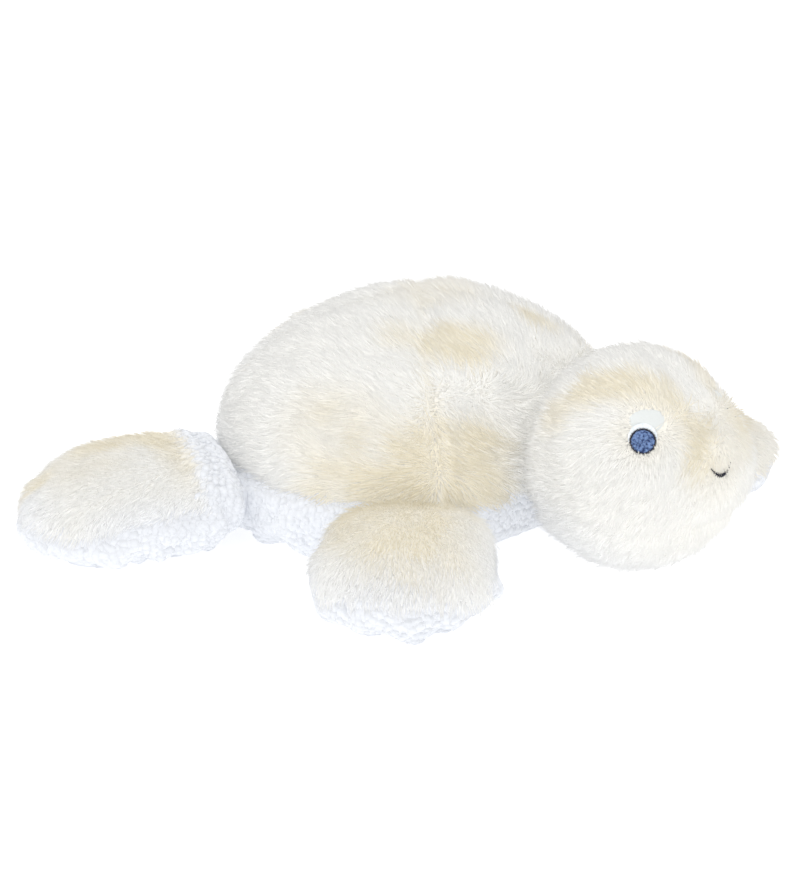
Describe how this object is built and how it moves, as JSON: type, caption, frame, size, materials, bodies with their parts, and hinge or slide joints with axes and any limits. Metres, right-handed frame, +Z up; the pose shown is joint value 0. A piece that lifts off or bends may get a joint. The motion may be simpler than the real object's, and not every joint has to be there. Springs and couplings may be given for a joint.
{
  "type": "plush turtle",
  "caption": "Soft sea turtle toy with a domed shell of long pile, a round head with embroidered eyes and smile, and paddle flippers that lift.",
  "frame": {"origin": "middle of the flat face on which the belly rests", "axes": "+X forwards to the head, +Y the turtle's left, +Z up; -Z is the rest face's normal"},
  "size_m": [0.2981, 0.352, 0.109],
  "materials": {
    "long_pile": "long soft pile, cream with tan frosting",
    "fleece": "short curly white pile",
    "trimmed_pile": "pile trimmed short",
    "filling": "loose white fibre",
    "blue_thread": "satin stitch",
    "dark_thread": "satin stitch",
    "white_thread": "satin stitch"
  },
  "bodies": {
    "torso": {"shell_front": "long_pile", "shell_left": "long_pile", "shell_rear": "long_pile", "shell_right": "long_pile", "belly": "fleece", "body_filling": "filling"},
    "neck": {"neck_sleeve": "fleece", "neck_filling": "filling"},
    "head": {"head_left": "long_pile", "head_right": "long_pile", "chin": "long_pile", "head_filling": "filling", "smile": "dark_thread", "eye_left_white": "white_thread", "eye_left_iris": "blue_thread", "eye_left_outline": "dark_thread", "eye_left_eyelid": "trimmed_pile", "eye_right_white": "white_thread", "eye_right_iris": "blue_thread", "eye_right_outline": "dark_thread", "eye_right_eyelid": "trimmed_pile"},
    "front_left_flipper": {"front_left_flipper_top": "long_pile", "front_left_flipper_underside": "fleece", "front_left_flipper_filling": "filling"},
    "front_right_flipper": {"front_right_flipper_top": "long_pile", "front_right_flipper_underside": "fleece", "front_right_flipper_filling": "filling"},
    "rear_left_flipper": {"rear_left_flipper_top": "long_pile", "rear_left_flipper_underside": "fleece", "rear_left_flipper_filling": "filling"},
    "rear_right_flipper": {"rear_right_flipper_top": "long_pile", "rear_right_flipper_underside": "fleece", "rear_right_flipper_filling": "filling"}
  },
  "joints": [
    {"name": "head_turn", "type": "hinge", "parent": "torso", "child": "neck", "pos_m": [0.086, 0, 0.05], "axis": [0, 0, 1], "range_deg": [-10, 10], "stiffness_Nm_per_rad": 1.5},
    {"name": "head_nod", "type": "hinge", "parent": "neck", "child": "head", "pos_m": [0.086, 0, 0.05], "axis": [0, 1, 0], "range_deg": [-10, 10], "stiffness_Nm_per_rad": 2.5},
    {"name": "front_left_flipper_lift", "type": "hinge", "parent": "torso", "child": "front_left_flipper", "pos_m": [0.06252, 0.0786, 0.036], "axis": [0.7826, -0.6225, 0], "range_deg": [-10, 48], "stiffness_Nm_per_rad": 0.4},
    {"name": "front_right_flipper_lift", "type": "hinge", "parent": "torso", "child": "front_right_flipper", "pos_m": [0.06252, -0.0786, 0.036], "axis": [-0.7826, -0.6225, 0], "range_deg": [-10, 48], "stiffness_Nm_per_rad": 0.4},
    {"name": "rear_left_flipper_lift", "type": "hinge", "parent": "torso", "child": "rear_left_flipper", "pos_m": [-0.05025, 0.08703, 0.036], "axis": [0.866, 0.5, 0], "range_deg": [-10, 48], "stiffness_Nm_per_rad": 0.4},
    {"name": "rear_right_flipper_lift", "type": "hinge", "parent": "torso", "child": "rear_right_flipper", "pos_m": [-0.05025, -0.08703, 0.036], "axis": [-0.866, 0.5, 0], "range_deg": [-10, 48], "stiffness_Nm_per_rad": 0.4}
  ]
}
